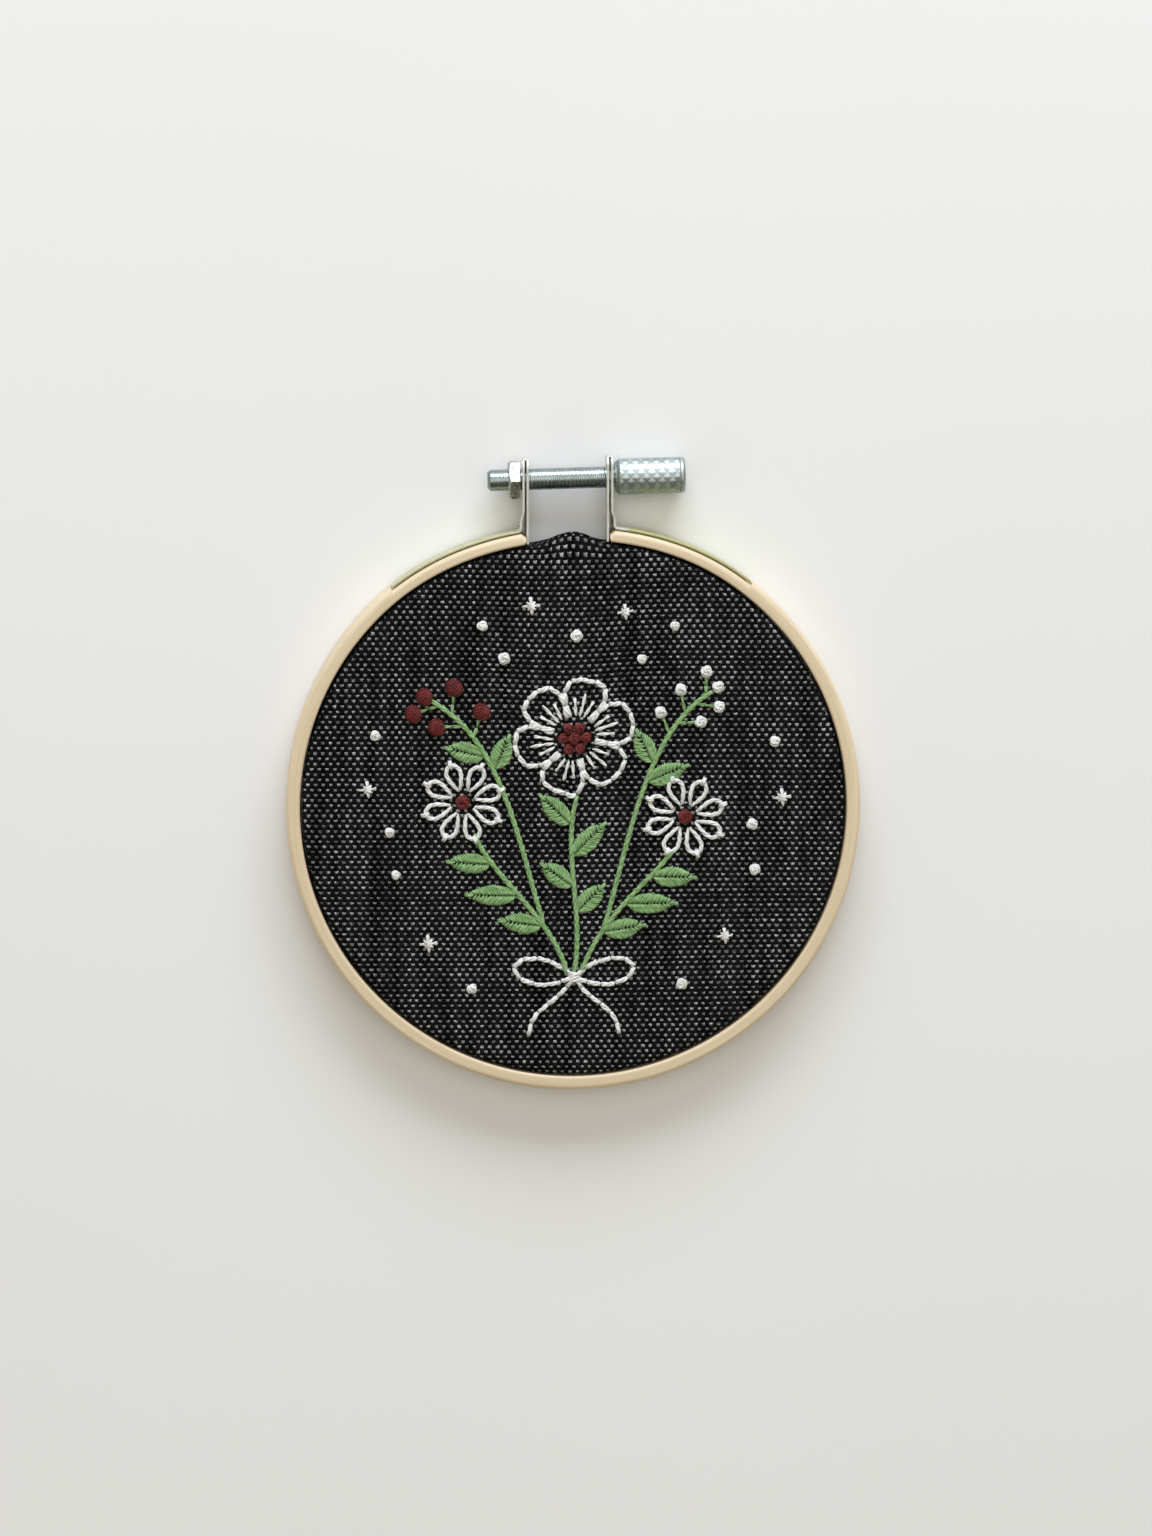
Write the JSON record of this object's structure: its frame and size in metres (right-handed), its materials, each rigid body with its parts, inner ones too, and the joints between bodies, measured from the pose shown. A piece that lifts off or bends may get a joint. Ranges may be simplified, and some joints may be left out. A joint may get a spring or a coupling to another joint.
{
  "type": "embroidered cloth in an embroidery hoop",
  "caption": "Dark plain-weave cloth with a small floral embroidery, stretched in a round wooden embroidery hoop with a metal screw clamp, lying on its back.",
  "frame": {"origin": "on the surface that the hoop lies on, below the middle of the whole object's box; the hoop's own centre is 6.025 mm towards -Y", "axes": "+Z out of the cloth's face, along the hoop's axis; +Y towards the screw clamp, which is the picture's top; +X towards the knob"},
  "size_m": [0.1062, 0.1182, 0.0085],
  "materials": {
    "dark_cloth": "matt plain weave, black and off-white yarns",
    "wood": "pale wood, lightly varnished",
    "clamp_strip": "passivated strip, pale brassy green",
    "nut_metal": "zinc plated",
    "screw_metal": "bright zinc plated",
    "white_thread": "stranded cotton, slight sheen",
    "green_thread": "stranded cotton, slight sheen",
    "red_thread": "stranded cotton, slight sheen"
  },
  "bodies": {
    "hoop": {"outer_hoop": "wood", "inner_hoop": "wood", "cloth": "dark_cloth", "bracket_left": "clamp_strip", "bracket_right": "clamp_strip", "nut": "nut_metal"},
    "thumb_screw": {"thumb_screw": "screw_metal"}
  },
  "joints": [
    {"name": "thumb_screw_turn", "type": "hinge", "parent": "hoop", "child": "thumb_screw", "pos_m": [-0.0012, 0.0548, 0.00425], "axis": [0.9997, 0.0262, 0], "continuous": true}
  ]
}
